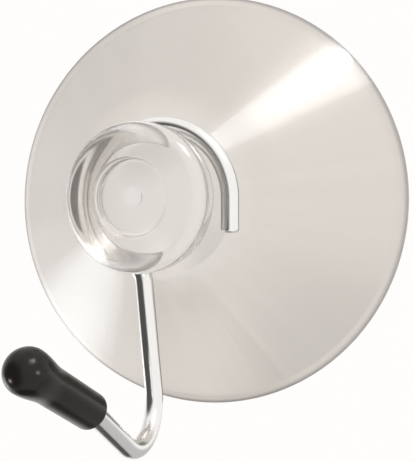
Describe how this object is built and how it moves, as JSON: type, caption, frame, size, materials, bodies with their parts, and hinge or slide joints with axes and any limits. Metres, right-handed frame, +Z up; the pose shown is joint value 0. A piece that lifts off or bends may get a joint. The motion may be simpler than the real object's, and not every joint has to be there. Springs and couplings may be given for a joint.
{
  "type": "suction cup hook",
  "caption": "Clear suction cup with a mushroom head, a bent wire hook that turns on its neck, and a rubber tip cap.",
  "frame": {"origin": "centre of the cup's rim, on the plane of the wall that it seals against", "axes": "+Y into the wall along the cup's axis, the head and the hook point to -Y, +Z up, +X to the right as seen from the front"},
  "size_m": [0.064, 0.0503, 0.0646],
  "materials": {
    "clear_vinyl": "clear, smooth moulded",
    "plated_wire": "bright plated, drawn wire",
    "black_rubber": "satin"
  },
  "bodies": {
    "cup": {"suction_cup": "clear_vinyl"},
    "hook": {"wire_hook": "plated_wire", "tip_cap": "black_rubber"}
  },
  "joints": [
    {"name": "hook_swivel", "type": "hinge", "parent": "cup", "child": "hook", "pos_m": [0, -0.0192, 0], "axis": [0, -1, 0], "continuous": true}
  ]
}
